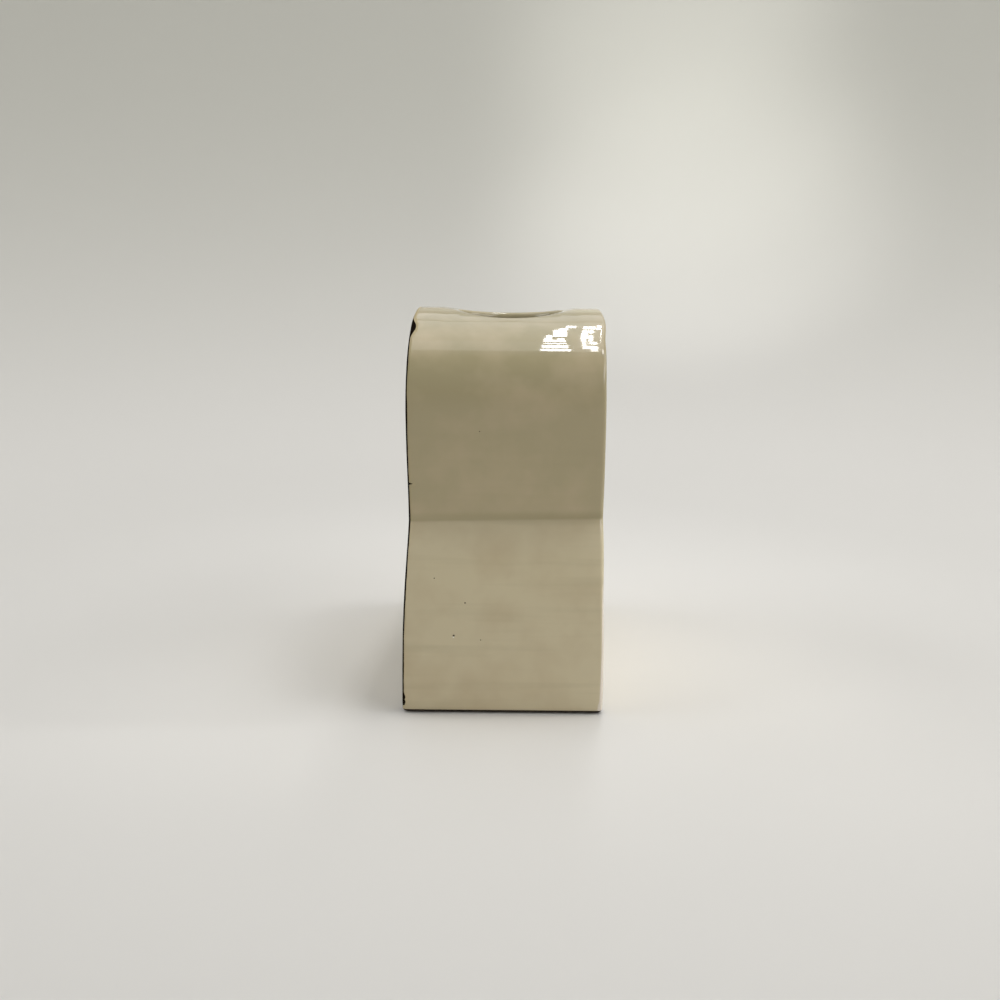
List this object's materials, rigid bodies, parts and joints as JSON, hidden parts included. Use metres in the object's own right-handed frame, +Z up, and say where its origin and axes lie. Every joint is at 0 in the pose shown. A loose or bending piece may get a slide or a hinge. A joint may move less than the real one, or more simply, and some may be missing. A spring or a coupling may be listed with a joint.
{
  "type": "pillow vase",
  "caption": "Slab-built ceramic vase with broad flat faces, a narrow double-bulged side wall creased at the waist, a domed crown and a round mouth; stands on its flat base to hold flowers.",
  "frame": {"origin": "middle of the flat underside, on the surface that the vase stands on", "axes": "+Z up through the mouth, +Y from the painted front face to the back face, +X along the width towards the narrow side that the picture shows"},
  "size_m": [0.142, 0.082, 0.16],
  "materials": {
    "cream_glaze": "glossy cream glaze on stoneware",
    "painted_glaze": "glossy cream glaze with a brushed near-black margin",
    "inner_glaze": "glossy cream glaze poured inside"
  },
  "bodies": {
    "root": {"base_slab": "cream_glaze", "front_panel": "painted_glaze", "back_panel": "cream_glaze", "left_wall": "cream_glaze", "right_wall": "cream_glaze", "crown_wall": "cream_glaze", "front_coil": "inner_glaze", "back_coil": "inner_glaze", "front_base_coil": "inner_glaze", "back_base_coil": "inner_glaze", "left_base_coil": "inner_glaze", "right_base_coil": "inner_glaze"}
  },
  "joints": []
}
